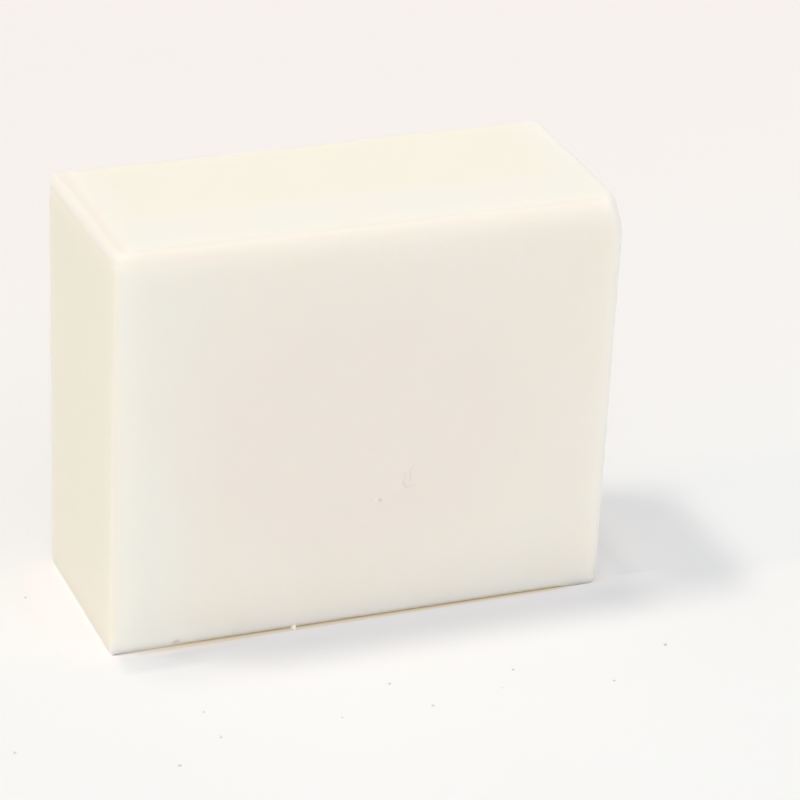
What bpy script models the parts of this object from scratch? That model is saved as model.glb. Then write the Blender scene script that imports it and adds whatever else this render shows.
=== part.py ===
"""Pressed hand-chalk block for gymnastics, standing on one of its long narrow sides.

One solid cuboid with flat faces and rounded edges, crisper round the foot and
at the front left upright edge than elsewhere.

Frame: metres, +Z up. The origin is the centre of the underside. +X runs along
the width to the right, +Y through the thickness to the back, +Z up the height.
"""

import bmesh
import bpy

# Block size
WIDTH = 0.0600  # along X, the longest side
THICKNESS = 0.0251  # along Y, the shortest side
HEIGHT = 0.0488  # along Z

# Edge radii
TOP_RADIUS = 0.0016  # four edges round the top
FOOT_RADIUS = 0.0005  # four edges round the underside
FRONT_LEFT_RADIUS = 0.0010  # the crisper upright edge
UPRIGHT_RADIUS = 0.0020  # the other three upright edges
WIDEST_RADIUS = max(TOP_RADIUS, FOOT_RADIUS, FRONT_LEFT_RADIUS, UPRIGHT_RADIUS)
ROUNDING_SEGMENTS = 8  # facets across each rounded edge
CIRCULAR_PROFILE = 0.5  # bevel profile that gives a round arc

# Chalk material
IVORY = (0.940, 0.876, 0.800, 1.0)  # warm off-white, linear RGBA
CHALK_SHADER = {
    "Base Color": IVORY,
    "Roughness": 0.42,
    "Metallic": 0.0,
    "Subsurface Weight": 1.0,  # share of light scattered below the surface
    "Subsurface Radius": (1.0, 0.9, 0.8),  # relative reach of red, green, blue
    "Subsurface Scale": 0.004,  # scattering depth that the radii multiply
}


def clear_scene():
    for obj in list(bpy.data.objects):
        bpy.data.objects.remove(obj, do_unlink=True)


def chalk_material():
    material = bpy.data.materials.new("chalk_ivory")
    material.use_nodes = True
    shader = material.node_tree.nodes["Principled BSDF"]
    for name, value in CHALK_SHADER.items():
        shader.inputs[name].default_value = value
    material.diffuse_color = IVORY  # colour in the solid viewport
    return material


def edge_radius(edge):
    """Radius of one cuboid edge, chosen by where its midpoint lies."""
    start, end = (vertex.co for vertex in edge.verts)
    middle = (start + end) / 2
    # Midpoints lie at the foot, half height or top; the quarter heights part them.
    if middle.z > HEIGHT * 0.75:
        return TOP_RADIUS
    if middle.z < HEIGHT * 0.25:
        return FOOT_RADIUS
    if middle.x < 0 and middle.y < 0:
        return FRONT_LEFT_RADIUS
    return UPRIGHT_RADIUS


def cuboid_mesh():
    """A sharp cuboid on its foot, each edge weighted by its share of the widest radius."""
    bm = bmesh.new()
    bmesh.ops.create_cube(bm, size=1.0)
    for vertex in bm.verts:
        vertex.co.x *= WIDTH
        vertex.co.y *= THICKNESS
        vertex.co.z = (vertex.co.z + 0.5) * HEIGHT

    weight = bm.edges.layers.float.new("bevel_weight_edge")
    for edge in bm.edges:
        edge[weight] = edge_radius(edge) / WIDEST_RADIUS

    mesh = bpy.data.meshes.new("chalk_block")
    bm.to_mesh(mesh)
    bm.free()
    mesh.shade_smooth()
    return mesh


def round_edges(block):
    """Bevel each edge to the widest radius times its weight."""
    bevel = block.modifiers.new("rounded_edges", "BEVEL")
    bevel.limit_method = "WEIGHT"
    bevel.offset_type = "OFFSET"
    bevel.width = WIDEST_RADIUS
    bevel.segments = ROUNDING_SEGMENTS
    bevel.profile = CIRCULAR_PROFILE
    bevel.use_clamp_overlap = True
    bevel.harden_normals = True  # keeps the faces flat under smooth shading


def chalk_block(collection):
    block = bpy.data.objects.new("chalk_block", cuboid_mesh())
    collection.objects.link(block)
    block.data.materials.append(chalk_material())
    round_edges(block)


def main():
    clear_scene()
    scene = bpy.context.scene
    scene.unit_settings.system = "METRIC"
    scene.unit_settings.scale_length = 1.0

    collection = bpy.data.collections.new("gymnastics_chalk_block")
    scene.collection.children.link(collection)
    chalk_block(collection)


main()
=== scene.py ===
"""Looks of a gymnastics chalk block, built round the CAD frame.

The block is one solid lump, about 60 x 25 x 49 mm, standing on the floor at z = 0.
x runs left to right along its broad faces, the front looks to -y and z is up.
One dense mesh carries worn, uneven edges, faces a little out of square, faint
hollows, a nick, a speck and a crumb, in a translucent ivory material whose
colour also carries painted light and shade. Everything else is stage: floor,
with painted shadow and light round the block, fallen crumbs, light and camera.
"""

import math
from functools import reduce
from itertools import product

import bmesh
import bpy
import numpy as np
from mathutils import Matrix, Vector


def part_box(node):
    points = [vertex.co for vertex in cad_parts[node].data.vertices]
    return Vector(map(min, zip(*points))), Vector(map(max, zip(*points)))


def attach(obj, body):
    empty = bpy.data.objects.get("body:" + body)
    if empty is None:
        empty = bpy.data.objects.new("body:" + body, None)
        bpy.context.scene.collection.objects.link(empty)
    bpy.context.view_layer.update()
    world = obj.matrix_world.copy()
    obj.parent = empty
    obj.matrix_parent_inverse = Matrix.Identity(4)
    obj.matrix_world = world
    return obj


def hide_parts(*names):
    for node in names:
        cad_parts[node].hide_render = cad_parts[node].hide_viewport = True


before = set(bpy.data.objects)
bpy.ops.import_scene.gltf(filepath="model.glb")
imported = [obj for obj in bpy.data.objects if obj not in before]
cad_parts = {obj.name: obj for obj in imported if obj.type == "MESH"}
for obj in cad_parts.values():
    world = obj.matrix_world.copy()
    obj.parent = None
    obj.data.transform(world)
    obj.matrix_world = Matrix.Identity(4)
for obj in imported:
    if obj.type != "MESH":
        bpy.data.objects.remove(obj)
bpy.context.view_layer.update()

MM = 0.001
LOW, HIGH = (np.array(c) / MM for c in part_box("chalk_block"))
SIZE = HIGH - LOW
MID = (HIGH + LOW) / 2

# ------------------------------------------------------------ block, in mm
# Rounding of each edge. The key gives its side in x, y and z, 0 = along that
# axis; the values say how far the rounding reaches along x, y and z.
EDGE_ROUND = {
    (0, -1, 1): (0.0, 1.4, 1.9),
    (0, 1, 1): (0.0, 1.8, 1.8),
    (-1, 0, 1): (1.0, 0.0, 1.0),
    (1, 0, 1): (1.8, 0.0, 1.8),
    (0, -1, -1): (0.0, 0.45, 0.45),
    (0, 1, -1): (0.0, 0.8, 0.8),
    (-1, 0, -1): (0.01, 0.0, 0.01),
    (1, 0, -1): (0.9, 0.0, 0.9),
    (-1, -1, 0): (2.4, 0.8, 0.0),
    (1, -1, 0): (1.9, 1.9, 0.0),
    (-1, 1, 0): (2.0, 2.0, 0.0),
    (1, 1, 0): (2.0, 2.0, 0.0),
}
EDGE_BLEND = 0.12  # mm2, how softly one edge's rounding passes into the next
MIN_ROUND = 0.05
# How far each corner stands off a true cuboid, from cutting by hand.
CORNER_SHIFT = {
    (-1, -1, -1): (0.00, 0.15, 0.00),
    (-1, -1, 1): (0.10, -0.07, -0.07),
    (-1, 1, -1): (0.17, -0.23, 0.00),
    (-1, 1, 1): (-0.25, 0.15, 0.17),
    (1, -1, -1): (-0.04, -0.20, 0.00),
    (1, -1, 1): (0.05, -0.15, -0.25),
    (1, 1, 1): (0.00, 0.07, 0.14),
}
# Wear that takes a corner off along a soft plane: (lean in x, y and z, how deep
# the plane lies below the true corner, how softly it meets the rest).
CORNER_CUT = {
    (-1, -1, 1): ((1.0, 1.0, 1.0), 1.15, 0.8),
    (1, -1, 1): ((1.0, 0.6, 0.6), 1.90, 1.0),
    (-1, 1, 1): ((1.0, 1.0, 0.6), 1.00, 1.5),
    (1, 1, 1): ((0.5, 1.0, 0.6), 1.50, 0.6),
    (1, -1, -1): ((1.0, 0.6, 0.3), 0.60, 1.2),
    (-1, 1, -1): ((1.0, 1.0, 1.0), 1.20, 0.8),
    (1, 1, -1): ((1.0, 1.0, 1.0), 1.30, 0.8),
}
CUT_TURN = 0.5  # a point moved this far takes the cut's normal outright
# Strokes of the nick on the front face: x, z at both ends, half width, depth.
NICK_STROKES = [
    ((4.85, 16.22), (5.80, 16.24), 0.09, 0.050),
    ((4.56, 18.09), (4.44, 16.96), 0.12, 0.032),
    ((5.20, 18.00), (5.19, 16.98), 0.13, 0.034),
    ((5.60, 18.95), (5.18, 18.27), 0.14, 0.024),
    ((4.36, 16.96), (4.85, 16.16), 0.10, 0.050),
]
# Pits (positive) and raised lips (negative) on the front: x, z, radius, depth.
SPOTS = [
    ((1.64, 15.04), 0.22, 0.090),  # a speck
    ((1.12, 15.10), 0.18, -0.022),  # the lip beside it
    ((-22.35, 0.55), 0.25, 0.10),  # a dent in the foot
    ((-8.18, 0.24), 0.20, -0.42),  # a crumb clinging to the foot
    ((-8.34, 0.06), 0.20, -0.58),
]
FRONT_NORMAL_Y = -0.35  # normals below this face the front
FULL_MARK = 0.08  # depth at which a mark has its full colour

# Spacing of the mesh lines.
COARSE_STEP = 0.6
STEP_GROWTH = 0.35  # how fast the spacing widens with distance from a zone
ROUND_STEP = 0.24
FINE_STEP = 0.09
# Zones of closer lines along x, y and z: from, to, step.
ZONES = (
    [
        (LOW[0], LOW[0] + 0.8, 0.12),
        (LOW[0], LOW[0] + 3.0, ROUND_STEP),
        (HIGH[0] - 2.8, HIGH[0], ROUND_STEP),
        (-8.7, -7.8, 0.08),  # crumb on the foot
        (0.9, 2.1, FINE_STEP),  # speck
        (4.1, 6.1, FINE_STEP),  # nick
    ],
    [
        (LOW[1], LOW[1] + 0.8, FINE_STEP),
        (LOW[1], LOW[1] + 2.2, ROUND_STEP),
        (HIGH[1] - 2.6, HIGH[1], ROUND_STEP),
    ],
    [
        (LOW[2], LOW[2] + 0.5, 0.07),
        (LOW[2], LOW[2] + 2.0, ROUND_STEP),
        (HIGH[2] - 2.6, HIGH[2], ROUND_STEP),
        (14.6, 15.5, FINE_STEP),  # speck
        (16.0, 19.0, FINE_STEP),  # nick
    ],
)
SHARP_ANGLE = 0.6  # radians; only the crisp left foot is this sharp


def lattice_noise(points, cell, seed):
    """Smooth value noise in [-1, 1] at points (n, 3), from a seeded lattice."""
    scaled = points / cell
    base = np.floor(scaled).astype(np.int64)
    t = scaled - base
    t = t * t * t * (t * (t * 6 - 15) + 10)
    total = np.zeros(len(points))
    for corner in product((0, 1), repeat=3):
        x, y, z = (base + corner).T
        code = (x * 73856093) ^ (y * 19349663) ^ (z * 83492791) ^ (seed * 2654435761)
        code = (code ^ (code >> 13)) * 1274126177 & 0x7FFFFFFF
        code = (code ^ (code >> 16)) & 0xFFFF
        value = code / 32767.5 - 1
        share_x, share_y, share_z = np.where(corner, t, 1 - t).T
        total += value * share_x * share_y * share_z
    return total


def smooth(start, end, x):
    t = np.clip((x - start) / (end - start), 0, 1)
    return t * t * (3 - 2 * t)


def stations(low, high, zones):
    """Grid lines from low to high, close together in the zones."""

    def spacing(place):
        steps = [
            step + max(start - place, place - end, 0) * STEP_GROWTH
            for start, end, step in zones
        ]
        return min(COARSE_STEP, *steps)

    marks = [low]
    while marks[-1] < high:
        marks.append(marks[-1] + spacing(marks[-1]))
    marks = np.array(marks)
    return low + (marks - low) * (high - low) / (marks[-1] - low)


def cuboid_shell(xs, ys, zs):
    """Welded quads over the six sides of a grid: (points, quads)."""
    index, quads = {}, []

    def quad(*corners):
        quads.append([index.setdefault(corner, len(index)) for corner in corners])

    nx, ny, nz = len(xs) - 1, len(ys) - 1, len(zs) - 1
    for i, k in product(range(nx), range(nz)):
        quad((i, 0, k), (i + 1, 0, k), (i + 1, 0, k + 1), (i, 0, k + 1))
        quad((i + 1, ny, k), (i, ny, k), (i, ny, k + 1), (i + 1, ny, k + 1))
    for j, k in product(range(ny), range(nz)):
        quad((0, j + 1, k), (0, j, k), (0, j, k + 1), (0, j + 1, k + 1))
        quad((nx, j, k), (nx, j + 1, k), (nx, j + 1, k + 1), (nx, j, k + 1))
    for i, j in product(range(nx), range(ny)):
        quad((i, j, nz), (i + 1, j, nz), (i + 1, j + 1, nz), (i, j + 1, nz))
        quad((i, j + 1, 0), (i + 1, j + 1, 0), (i + 1, j, 0), (i, j, 0))
    return np.array([(xs[i], ys[j], zs[k]) for i, j, k in index]), quads


def side(axis, sign):
    return HIGH[axis] if sign > 0 else LOW[axis]


def rounding_radii(points):
    """How far the rounding reaches along x, y and z at each point (n, 3)."""
    weight = np.zeros((len(points), 3))
    total = np.zeros((len(points), 3))
    for signs, reach in EDGE_ROUND.items():
        gap2 = sum((points[:, a] - side(a, s)) ** 2 for a, s in enumerate(signs) if s)
        nearness = 1 / (gap2 + EDGE_BLEND) ** 2
        for a in range(3):
            if signs[a]:
                weight[:, a] += nearness
                total[:, a] += nearness * reach[a]
    radii = total / weight
    # the front foot is crisp at both ends, and so is the corner at its left end
    x, y, z = points.T
    front_foot = 1 / (1 + ((y - LOW[1]) ** 2 + (z - LOW[2]) ** 2) * 4)
    ends = (0.10 + 0.90 * smooth(-28.5, -19.5, x)) * (1 - 0.85 * smooth(23.8, 26.6, x))
    radii[:, 1:] *= (1 - front_foot * (1 - ends))[:, None]
    corner_gap = np.hypot(x - LOW[0], y - LOW[1])
    crisp = (1 - smooth(0.3, 3.5, z)) * (1 - smooth(0, 6, corner_gap))
    radii[:, :2] *= (1 - 0.7 * crisp)[:, None]
    radii = np.maximum(radii, MIN_ROUND)
    # hand wear: the rounding swells and tightens a little along each edge
    swell = 0.10 * lattice_noise(points, cell=9.0, seed=11)
    ripple = 0.05 * lattice_noise(points, cell=2.6, seed=12)
    return radii * (1 + swell + ripple)[:, None]


def soft_cut(surface, normal, signs, lean, depth, softness):
    """Push points that stand above a tilted plane near a corner down to it."""
    corner = np.array([side(a, s) for a, s in enumerate(signs)])
    plane = np.array(signs) * np.array(lean)
    plane = plane / np.linalg.norm(plane)
    # wear is never a true plane
    bumps = 1 + 0.10 * lattice_noise(surface, cell=1.3, seed=31)
    above = (surface - corner) @ plane + depth * bumps
    lower = np.minimum(above, 0) - np.maximum(softness - np.abs(above), 0) ** 2 / (4 * softness)
    moved = np.where(above > -softness, above - lower, 0)
    t = np.clip(moved / CUT_TURN, 0, 1)[:, None]
    turned = normal * (1 - t) + plane * t
    turned /= np.linalg.norm(turned, axis=1, keepdims=True)
    return surface - plane * moved[:, None], turned


def worn_surface(points):
    """Cuboid points to the worn block's surface: (surface, normals)."""
    radii = rounding_radii(points)
    half = SIZE / 2
    offset = points - MID
    inner = np.clip(offset, -(half - radii), half - radii)
    out = (offset - inner) / radii
    unit = out / np.linalg.norm(out, axis=1, keepdims=True)
    surface = inner + radii * unit + MID
    normal = unit / radii
    normal /= np.linalg.norm(normal, axis=1, keepdims=True)
    for signs, cut in CORNER_CUT.items():
        surface, normal = soft_cut(surface, normal, signs, *cut)
    # faint hollows and swellings left by cutting and handling, none underneath
    stand = smooth(0.0, 3.0, points[:, 2] - LOW[2])
    broad = 0.035 * lattice_noise(points, cell=17.0, seed=21)
    small = 0.010 * lattice_noise(points, cell=5.0, seed=22)
    surface += normal * ((broad + small) * stand)[:, None]
    # out of square
    share = np.clip((points - LOW) / SIZE, 0, 1)
    for signs, shift in CORNER_SHIFT.items():
        shares = [share[:, a] if s > 0 else 1 - share[:, a] for a, s in enumerate(signs)]
        surface += np.prod(shares, axis=0)[:, None] * np.array(shift)
    return surface, normal


def segment_distance(x, z, start, end):
    start = np.array(start)
    run = np.array(end) - start
    offset = np.stack([x, z], axis=1) - start
    t = np.clip(offset @ run / (run @ run), 0, 1)
    return np.linalg.norm(offset - t[:, None] * run, axis=1)


def front_marks(surface, normal):
    """Nick and spots: how far each front point sinks."""
    x, z = surface[:, 0], surface[:, 2]
    sink = np.zeros(len(surface))
    ragged = 1 + 0.35 * lattice_noise(surface, cell=0.45, seed=41)
    for start, end, half_width, depth in NICK_STROKES:
        gap = segment_distance(x, z, start, end)
        stroke = depth * (1 - smooth(0.2, 1.0, gap / (half_width * ragged * 1.6)))
        sink = np.maximum(sink, stroke)
    uneven = 1 + 0.25 * lattice_noise(surface, cell=0.3, seed=42)
    for (spot_x, spot_z), radius, depth in SPOTS:
        gap = np.hypot(x - spot_x, z - spot_z) * uneven
        sink = sink + depth * (1 - smooth(0.15, 1.0, gap / (radius * 1.5)))
    return np.where(normal[:, 1] < FRONT_NORMAL_Y, sink, 0)


def edge_nearness(points):
    """1 on the edges of the block, falling to 0 about 2 mm away from them."""
    gaps = np.sort(np.minimum(points - LOW, HIGH - points), axis=1)
    return 1 - smooth(0.2, 2.4, gaps[:, 1])


def add_attribute(mesh, name, values):
    layer = mesh.attributes.new(name, "FLOAT", "POINT")
    layer.data.foreach_set("value", np.asarray(values, dtype=np.float32))


def add_object(name, data):
    obj = bpy.data.objects.new(name, data)
    bpy.context.scene.collection.objects.link(obj)
    return obj


def build_block():
    points, quads = cuboid_shell(*(stations(LOW[a], HIGH[a], ZONES[a]) for a in range(3)))
    surface, normal = worn_surface(points)
    sink = front_marks(surface, normal)
    surface[:, 1] += sink
    mesh = bpy.data.meshes.new("chalk_block_body")
    mesh.from_pydata((surface * MM).tolist(), [], quads)
    mesh.update()
    mesh.shade_smooth()
    mesh.set_sharp_from_angle(angle=SHARP_ANGLE)
    add_attribute(mesh, "edge", edge_nearness(points))
    add_attribute(mesh, "mark", np.clip(sink / FULL_MARK, -1, 1))
    return add_object("chalk_block_body", mesh)


# --------------------------------------------------------------- materials
class Shader:
    """A short way to write node trees: most calls add nodes and return a socket."""

    def __init__(self, name):
        self.material = bpy.data.materials.new(name)
        self.material.use_nodes = True
        self.tree = self.material.node_tree

    def link(self, value, socket):
        if isinstance(value, bpy.types.NodeSocket):
            self.tree.links.new(value, socket)
        else:
            socket.default_value = value

    def surface(self, inputs):
        """Set or link inputs of the Principled BSDF; returns the material."""
        for name, value in inputs.items():
            self.link(value, self.tree.nodes["Principled BSDF"].inputs[name])
        return self.material

    def where(self):
        return self.tree.nodes.new("ShaderNodeTexCoord").outputs["Object"]

    def axis(self, vector, name):
        node = self.tree.nodes.new("ShaderNodeSeparateXYZ")
        self.link(vector, node.inputs[0])
        return node.outputs[name]

    def attribute(self, name):
        node = self.tree.nodes.new("ShaderNodeAttribute")
        node.attribute_name = name
        return node.outputs["Fac"]

    def noise(self, vector, size_mm, detail=2.0, roughness=0.5):
        """Noise around 0.5 whose lumps are about size_mm across."""
        node = self.tree.nodes.new("ShaderNodeTexNoise")
        self.link(vector, node.inputs["Vector"])
        node.inputs["Scale"].default_value = 1000.0 / size_mm
        node.inputs["Detail"].default_value = detail
        node.inputs["Roughness"].default_value = roughness
        return node.outputs["Fac"]

    def math(self, operation, *values, clamp=False):
        node = self.tree.nodes.new("ShaderNodeMath")
        node.operation = operation
        node.use_clamp = clamp
        for value, socket in zip((*values, 0.0, 0.0), node.inputs):
            self.link(value, socket)
        return node.outputs[0]

    def times(self, *factors, clamp=False):
        return reduce(lambda a, b: self.math("MULTIPLY", a, b, clamp=clamp), factors)

    def scale_add(self, value, by, plus, clamp=False):
        return self.math("MULTIPLY_ADD", value, by, plus, clamp=clamp)

    def ramp(self, value, span, to=(0.0, 1.0)):
        """Smooth step between the two values of to, as value crosses span."""
        node = self.tree.nodes.new("ShaderNodeMapRange")
        node.interpolation_type = "SMOOTHSTEP"
        self.link(value, node.inputs["Value"])
        for name, limit in zip(("From Min", "From Max", "To Min", "To Max"), (*span, *to)):
            node.inputs[name].default_value = limit
        return node.outputs["Result"]

    def band(self, place, rise=None, fall=None, low=0.0):
        """Mask along an axis, up from low to 1 over rise and back over fall, in mm."""
        parts = [
            self.ramp(place, span=(span[0] * MM, span[1] * MM), to=to)
            for span, to in ((rise, (low, 1.0)), (fall, (1.0, low)))
            if span
        ]
        return self.times(*parts)

    def mix(self, factor, first, second):
        node = self.tree.nodes.new("ShaderNodeMix")
        node.data_type = "RGBA"
        self.link(factor, node.inputs["Factor"])
        for colour, socket in ((first, node.inputs[6]), (second, node.inputs[7])):
            is_socket = isinstance(colour, bpy.types.NodeSocket)
            self.link(colour if is_socket else (*colour, 1), socket)
        return node.outputs[2]

    def bump(self, height, depth_mm, normal=None):
        node = self.tree.nodes.new("ShaderNodeBump")
        node.inputs["Strength"].default_value = 1.0
        node.inputs["Distance"].default_value = depth_mm * MM
        self.link(height, node.inputs["Height"])
        if normal is not None:
            self.link(normal, node.inputs["Normal"])
        return node.outputs["Normal"]


BODY = (0.943, 0.878, 0.808)
BODY_WARM = (0.940, 0.868, 0.785)
GRAIN = (0.86, 0.80, 0.72)
END_PAINTED_WARM_LIGHT = (0.937, 0.865, 0.740)
RUBBED_AND_HIGHLIGHT = (0.940, 0.886, 0.832)
RIDGE_PAINTED_SHADE = (0.870, 0.822, 0.758)
FRONT_MIDDLE_DEEPER = (0.905, 0.840, 0.776)
FRONT_LEFT_PAINTED_LIGHT = (0.960, 0.901, 0.833)
LOW_PAINTED_GLOW = (0.985, 0.916, 0.818)
TOP_PAINTED_KEY_LIGHT = (0.972, 0.882, 0.792)
TOP_PAINTED_HIGHLIGHT = (0.966, 0.890, 0.836)
FOOT_PAINTED_SHADE = (0.80, 0.67, 0.48)
MARK_GREY_AND_SHADE = (0.78, 0.71, 0.62)
CRUMB = (0.975, 0.965, 0.940)
PAINTED_GLOW = (1.0, 0.94, 0.82, 1.0)


def ivory_base(sh, at):
    """Tone clouds of two sizes, and a fine grain."""
    small = sh.noise(at, size_mm=3.0, detail=3.0)
    large = sh.noise(at, size_mm=14.0)
    clouds = sh.scale_add(small, by=0.4, plus=sh.times(large, 0.6))
    colour = sh.mix(sh.ramp(clouds, span=(0.36, 0.66)), BODY_WARM, BODY)
    grain = sh.noise(at, size_mm=0.35)
    return sh.mix(sh.ramp(grain, span=(0.35, 0.75), to=(0.0, 0.04)), colour, GRAIN)


def front_middle_mask(sh, x, y, z):
    """An oval in the middle of the front face."""

    def from_centre(place, centre, half):
        return sh.scale_add(place, by=1 / (half * MM), plus=-centre / half)

    wide = from_centre(x, centre=-1.0, half=30)
    tall = from_centre(z, centre=25.0, half=23)
    reach = sh.math("SQRT", sh.scale_add(wide, by=wide, plus=sh.times(tall, tall)))
    oval = sh.ramp(reach, span=(0.45, 1.05), to=(1.0, 0.0))
    return sh.times(sh.band(y, fall=(-12.3, -11.0)), oval)


def ridge_shade_mask(sh, x, y, z):
    """Painted shade on the long top edges and the left one."""
    across = sh.math("ABSOLUTE", y)
    long_edges = sh.times(
        sh.band(across, rise=(10.2, 12.0)),
        sh.band(z, rise=(46.6, 48.4)),
        sh.band(x, fall=(26.0, 28.5)),
    )
    left_edge = sh.times(sh.band(x, fall=(-29.2, -27.4)), sh.band(z, rise=(46.9, 48.2)))
    return sh.math("MAXIMUM", long_edges, left_edge)


def ivory_material():
    """Smooth translucent ivory: slow tone drifts and rubbed edges, with painted light, shade and
    glow on its faces, edges and foot.
    """
    sh = Shader("chalk_ivory_waxy")
    at = sh.where()
    x, y, z = (sh.axis(at, name) for name in "XYZ")
    colour = ivory_base(sh, at)
    # painted warm light: the left end is tinted warmer, standing in for warm light falling on it
    # from the left
    colour = sh.mix(sh.band(x, fall=(-29.9, -28.6)), colour, END_PAINTED_WARM_LIGHT)
    # the middle of the front face is a shade deeper
    colour = sh.mix(front_middle_mask(sh, x, y, z), colour, FRONT_MIDDLE_DEEPER)
    # painted light: paler towards its left side, most of all low down, where light from the left
    # and off the floor comes in
    painted_left_light = sh.times(
        sh.band(y, fall=(-12.45, -12.1)),
        sh.band(x, fall=(-27, -16)),
        sh.band(z, fall=(8, 36), low=0.6),
    )
    colour = sh.mix(painted_left_light, colour, FRONT_LEFT_PAINTED_LIGHT)
    # and a painted warm glow just above the foot there
    low_front_glow = sh.times(
        sh.times(sh.band(y, fall=(-12.3, -11.6)), sh.band(z, fall=(0.2, 3.0))),
        sh.band(x, rise=(-29.6, -28.2), fall=(-24, -14)),
    )
    colour = sh.mix(low_front_glow, colour, LOW_PAINTED_GLOW)
    # painted light: the top is coloured as lit, paler near its front and side rims as a painted
    # highlight and more golden inside them from the warm key light
    top = sh.band(z, rise=(48.0, 48.6))
    colour = sh.mix(top, colour, TOP_PAINTED_HIGHLIGHT)
    inside = sh.band(x, rise=(-29, -23), fall=(22, 28))
    golden = sh.times(top, sh.times(inside, sh.band(y, rise=(-5.5, -1.0))))
    colour = sh.mix(golden, colour, TOP_PAINTED_KEY_LIGHT)
    # edges a little whiter, unevenly, and not round the left end: partly rubbed wear, partly a
    # painted highlight
    patches = sh.noise(at, size_mm=2.2, detail=3.0)
    rubbed_and_highlight = sh.times(
        sh.attribute("edge"),
        sh.ramp(patches, span=(0.3, 0.7), to=(0.45, 1.0)),
        sh.band(x, rise=(-29.8, -28.6)),
    )
    colour = sh.mix(rubbed_and_highlight, colour, RUBBED_AND_HIGHLIGHT)
    # painted shade: the ridges are a shade deeper, damping the light their rounding catches
    colour = sh.mix(ridge_shade_mask(sh, x, y, z), colour, RIDGE_PAINTED_SHADE)
    # painted shade: a tan line along the foot stands in for the shadow in the gap where the block
    # meets the floor, warmed by light through the block
    foot = sh.times(
        sh.times(sh.band(z, fall=(0.15, 0.75)), sh.band(x, rise=(-28.0, -18.0), low=0.30)),
        sh.times(sh.band(x, rise=(-29.9, -28.6)), sh.band(x, fall=(23, 27), low=0.25)),
    )
    colour = sh.mix(foot, colour, FOOT_PAINTED_SHADE)
    # pits are a little grey, partly their own dirt and partly painted shade in the hollows; raised
    # crumbs are whiter
    for strength, tone in ((0.9, MARK_GREY_AND_SHADE), (-0.9, CRUMB)):
        colour = sh.mix(sh.times(sh.attribute("mark"), strength, clamp=True), colour, tone)
    # painted light: raised crumbs, the low front left and the sharp foot of the left end are given
    # a glow, standing in for light scattered inside them
    left_foot_glow = sh.times(
        sh.ramp(z, span=(0.0, 0.5 * MM), to=(0.30, 0.0)), sh.band(x, fall=(-29.85, -29.4))
    )
    painted_low_glow = sh.scale_add(low_front_glow, by=0.05, plus=left_foot_glow)
    painted_glow = sh.scale_add(sh.attribute("mark"), by=-0.16, plus=painted_low_glow, clamp=True)
    # satin, with duller rubbed edges and faint finger smears
    smear = sh.noise(at, size_mm=6.0, detail=4.0, roughness=0.6)
    smear = sh.ramp(smear, span=(0.3, 0.7), to=(0.40, 0.50))
    pores = sh.ramp(sh.noise(at, size_mm=0.22), span=(0.25, 0.75))
    waves = sh.bump(sh.noise(at, size_mm=1.6), depth_mm=0.012)
    return sh.surface({
        "Base Color": colour,
        "Emission Color": PAINTED_GLOW,
        "Emission Strength": painted_glow,
        "Roughness": sh.scale_add(sh.attribute("edge"), by=0.08, plus=smear),
        "Normal": sh.bump(pores, depth_mm=0.0025, normal=waves),
        "IOR": 1.45,
        "Subsurface Weight": 1.0,
        "Subsurface Radius": (1.0, 0.95, 0.9),
        "Subsurface Scale": 0.0021,
    })


FLOOR_NEAR = (0.876, 0.893, 0.930)
FLOOR_FAR_PAINTED_FALLOFF = (0.880, 0.850, 0.868)
FLOOR_CLOUD = (0.86, 0.85, 0.86)
FLOOR_PAINTED_LIGHT_TRACE = (0.915, 0.935, 0.970)
FLOOR_PAINTED_SHADOW_RIGHT = (0.840, 0.859, 0.898)
FLOOR_PAINTED_SHADOW_LEFT = (0.805, 0.824, 0.862)
FLOOR_PAINTED_WARM_GLOW = (0.940, 0.920, 0.935)
FLOOR_FOOT_PAINTED_SHADOW = (0.884, 0.832, 0.735)
FLOOR_GLOW = (0.950, 0.895, 0.945)
FLOOR_LEAK = (0.965, 0.970, 0.985)


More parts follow.
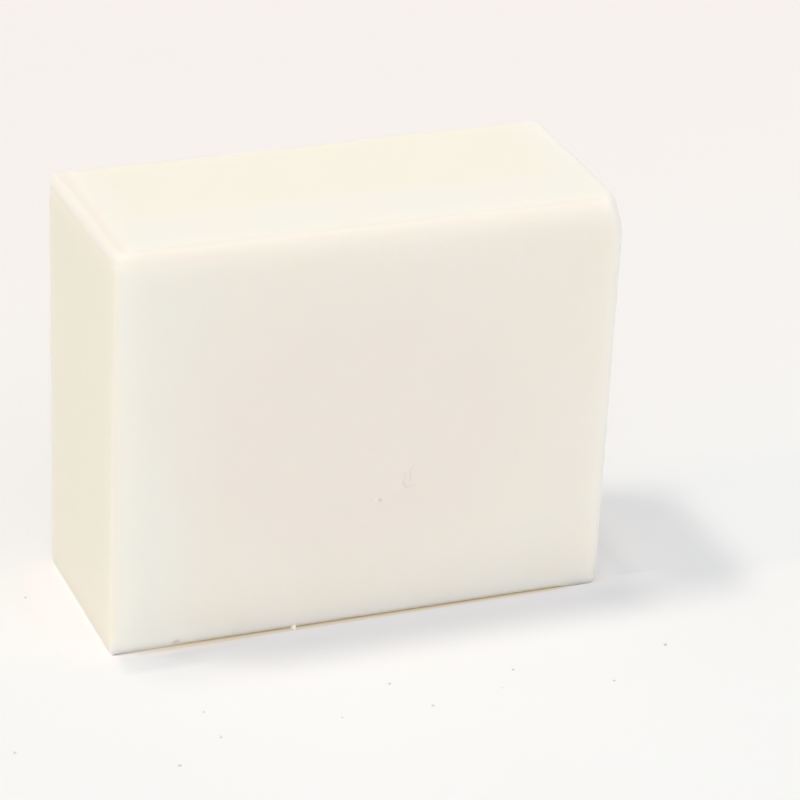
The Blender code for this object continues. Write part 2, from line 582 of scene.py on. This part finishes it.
def floor_material():
    """Matt white board, painted darker and pinker far away, with painted shadow, shade and light
    round the block's foot.
    """
    sh = Shader("studio_floor")
    at = sh.where()
    # painted shade: the floor turns darker and pinker far away, standing in for the light falling
    # off
    colour = sh.mix(sh.band(sh.axis(at, "Y"), rise=(-60, 160)), FLOOR_NEAR, FLOOR_FAR_PAINTED_FALLOFF)
    clouds = sh.ramp(sh.noise(at, size_mm=25.0), span=(0.3, 0.7), to=(0.0, 0.10))
    colour = sh.mix(clouds, colour, FLOOR_CLOUD)
    x, y = sh.axis(at, "X"), sh.axis(at, "Y")
    # along the foot of the front face: a pale trace of painted light lifts the shade next to the
    # block, and a tan painted shadow lies at the line
    before = sh.times(
        sh.band(x, rise=(-30, -23), fall=(23.5, 27)), sh.band(y, fall=(-12.2, -11.9))
    )
    painted_light_trace = sh.times(
        sh.band(x, rise=(-22, -10), fall=(33, 40)),
        sh.band(y, fall=(-12.2, -11.9)),
        sh.band(y, rise=(-16.5, -13.2)),
    )
    colour = sh.mix(painted_light_trace, colour, FLOOR_PAINTED_LIGHT_TRACE)
    # painted shadow: the board is a little greyer to the right and off the front left corner,
    # deepening the block's shadow there
    left = sh.times(
        sh.band(x, rise=(-30.5, -28.5), fall=(-23, -18)),
        sh.band(y, rise=(-17.5, -16.0), fall=(-13.5, -12.8)),
    )
    right = sh.times(sh.band(x, rise=(36, 42)), sh.band(y, rise=(-17.5, -13), fall=(6, 18)))
    colour = sh.mix(right, colour, FLOOR_PAINTED_SHADOW_RIGHT)
    colour = sh.mix(left, colour, FLOOR_PAINTED_SHADOW_LEFT)
    # painted warm glow on the board in front of the left part of the foot, from light through the
    # block
    warm_glow = sh.times(sh.band(x, fall=(-20, -8)), sh.band(y, rise=(-14.3, -13.4)))
    colour = sh.mix(sh.times(before, warm_glow), colour, FLOOR_PAINTED_WARM_GLOW)
    # the tan painted shadow in the gap at the foot line
    foot_painted_shadow = sh.times(before, sh.band(y, rise=(-13.16, -12.88)))
    colour = sh.mix(foot_painted_shadow, colour, FLOOR_FOOT_PAINTED_SHADOW)
    # light that has passed through the left end pools beside its foot
    beside = sh.times(
        sh.band(x, rise=(-36, -30.5), fall=(-29.5, -29.0)),
        sh.band(y, rise=(-15, -12), fall=(4, 12)),
    )
    colour = sh.mix(beside, colour, FLOOR_GLOW)
    # and a little comes out along the foot of the right end
    leak = sh.times(
        sh.band(x, rise=(28.5, 29.0), fall=(31.0, 34.0)),
        sh.band(y, rise=(-14.5, -12.8), fall=(-3, 3)),
    )
    colour = sh.mix(leak, colour, FLOOR_LEAK)
    return sh.surface({"Base Color": colour, "Roughness": 0.9, "Specular IOR Level": 0.0})


CRUMB_DARK = (0.62, 0.60, 0.57)
CRUMB_LIGHT = (0.80, 0.78, 0.74)


def crumb_material():
    """Grubby off-white crumbs, each a little different."""
    sh = Shader("floor_crumbs")
    tone = sh.ramp(sh.noise(sh.where(), size_mm=0.8), span=(0.3, 0.7))
    colour = sh.mix(tone, CRUMB_DARK, CRUMB_LIGHT)
    return sh.surface({"Base Color": colour, "Roughness": 0.8})


# ------------------------------------------------------------------- stage
FLOOR_HALF = 6.0  # m


def build_floor():
    mesh = bpy.data.meshes.new("floor")
    corners = [(x * FLOOR_HALF, y * FLOOR_HALF, 0) for x, y in ((-1, -1), (1, -1), (1, 1), (-1, 1))]
    mesh.from_pydata(corners, [], [(0, 1, 2, 3)])
    mesh.materials.append(floor_material())
    add_object("floor", mesh)


# Crumbs of chalk lying on the floor: x, y and size in mm.
CRUMBS = [
    (31.0, -28.5, 0.34), (-2.2, -27.3, 0.28), (-23.8, -32.4, 0.28), (-29.9, -36.6, 0.30),
    (-45.9, -28.9, 0.30), (12.2, -28.5, 0.24), (22.1, -34.1, 0.26), (-35.3, 3.0, 0.24),
    (0.7, -33.1, 0.24), (-23.9, -26.9, 0.20), (9.5, -31.8, 0.18), (-9.8, -32.5, 0.18),
]
CRUMB_STRETCH = (1.3, 1.0, 0.6)  # along x, y and z
CRUMB_HEIGHT = 0.2  # height of its centre, as a share of its size
CRUMB_SWELL = 0.45


def build_crumbs():
    """Low irregular lumps, scattered round the block as fallen crumbs."""
    bm = bmesh.new()
    for x, y, size in CRUMBS:
        ball = bmesh.ops.create_icosphere(bm, subdivisions=3, radius=size / 2 * MM)
        lump = ball["verts"]
        spots = np.array([v.co for v in lump]) / MM
        swell = 1 + CRUMB_SWELL * lattice_noise(spots + (x, y, 0), cell=size * 0.5, seed=51)
        centre = Vector((x, y, size * CRUMB_HEIGHT)) * MM
        for v, factor in zip(lump, swell):
            v.co = v.co * Vector(CRUMB_STRETCH) * float(factor) + centre if False else (
                Vector([c * k for c, k in zip(v.co, CRUMB_STRETCH)]) * float(factor) + centre
            )
    mesh = bpy.data.meshes.new("floor_crumbs")
    bm.to_mesh(mesh)
    bm.free()
    mesh.shade_smooth()
    mesh.materials.append(crumb_material())
    add_object("floor_crumbs", mesh)


# Suns: name, where the light comes from, angular size in degrees, strength, colour.
LIGHTS = [
    ("key_a", (-19.6, 4.6, 48.8), 5.5, 0.285, (1.0, 0.935, 0.77)),
    ("key_b", (-17.1, 8.4, 48.8), 5.8, 0.385, (1.0, 0.935, 0.77)),
    ("second", (-3.8, 7.7, 48.8), 8.2, 0.340, (1.0, 0.935, 0.77)),
    ("front", (0.0, -1.0, 0.35), 110.0, 0.72, (1.0, 1.0, 1.0)),
    ("top", (0.0, 0.0, 1.0), 110.0, 0.13, (1.0, 1.0, 1.0)),
    ("left", (-1.0, 0.0, 0.35), 110.0, 0.135, (1.0, 0.93, 0.70)),
]
FILL = 0.60  # the room: even light from everywhere
BACKDROP = (0.913, 0.871, 0.847)  # what the camera sees beyond the floor


def build_world():
    world = bpy.data.worlds.new("studio")
    bpy.context.scene.world = world
    world.use_nodes = True
    tree = world.node_tree
    fill = tree.nodes["Background"]
    fill.inputs["Color"].default_value = (1, 1, 1, 1)
    fill.inputs["Strength"].default_value = FILL
    backdrop = tree.nodes.new("ShaderNodeBackground")
    backdrop.inputs["Color"].default_value = (*BACKDROP, 1)
    ray = tree.nodes.new("ShaderNodeLightPath")
    pick = tree.nodes.new("ShaderNodeMixShader")
    tree.links.new(ray.outputs["Is Camera Ray"], pick.inputs[0])
    tree.links.new(fill.outputs[0], pick.inputs[1])
    tree.links.new(backdrop.outputs[0], pick.inputs[2])
    tree.links.new(pick.outputs[0], tree.nodes["World Output"].inputs["Surface"])


def build_lights():
    for name, toward, size, energy, colour in LIGHTS:
        sun = bpy.data.lights.new(name, "SUN")
        sun.energy = energy
        sun.color = colour
        sun.angle = math.radians(size)
        turn = Vector(toward).to_track_quat("Z", "Y").to_euler()
        add_object(name, sun).rotation_euler = turn


VIEW_ANGLES = (-22.621, 26.546, 2.812)  # azimuth, elevation and roll, degrees
VIEW_AIM = Vector((7.126, -3.873, 22.721)) * MM
VIEW_DISTANCE = 449.44 * MM
VIEW_LENS = 176.86


def build_camera():
    azimuth, elevation, roll = (math.radians(angle) for angle in VIEW_ANGLES)
    back = Vector((
        math.sin(azimuth) * math.cos(elevation),
        -math.cos(azimuth) * math.cos(elevation),
        math.sin(elevation),
    ))
    level = Vector((math.cos(azimuth), math.sin(azimuth), 0))
    right = level * math.cos(roll) + back.cross(level) * math.sin(roll)
    axes = Matrix((right, back.cross(right), back)).transposed().to_4x4()
    cam = bpy.data.cameras.new("camera")
    cam.sensor_fit = "HORIZONTAL"
    cam.sensor_width = 36
    cam.lens = VIEW_LENS
    cam.clip_start, cam.clip_end = 0.01, 50
    camera = add_object("camera", cam)
    camera.matrix_world = Matrix.Translation(VIEW_AIM + back * VIEW_DISTANCE) @ axes
    bpy.context.scene.camera = camera


block = build_block()
block.data.materials.append(ivory_material())
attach(block, "root")
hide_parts("chalk_block")

build_floor()
build_crumbs()
build_world()
build_lights()
build_camera()
bpy.context.scene.view_settings.view_transform = "Standard"
bpy.context.scene.view_settings.look = "None"
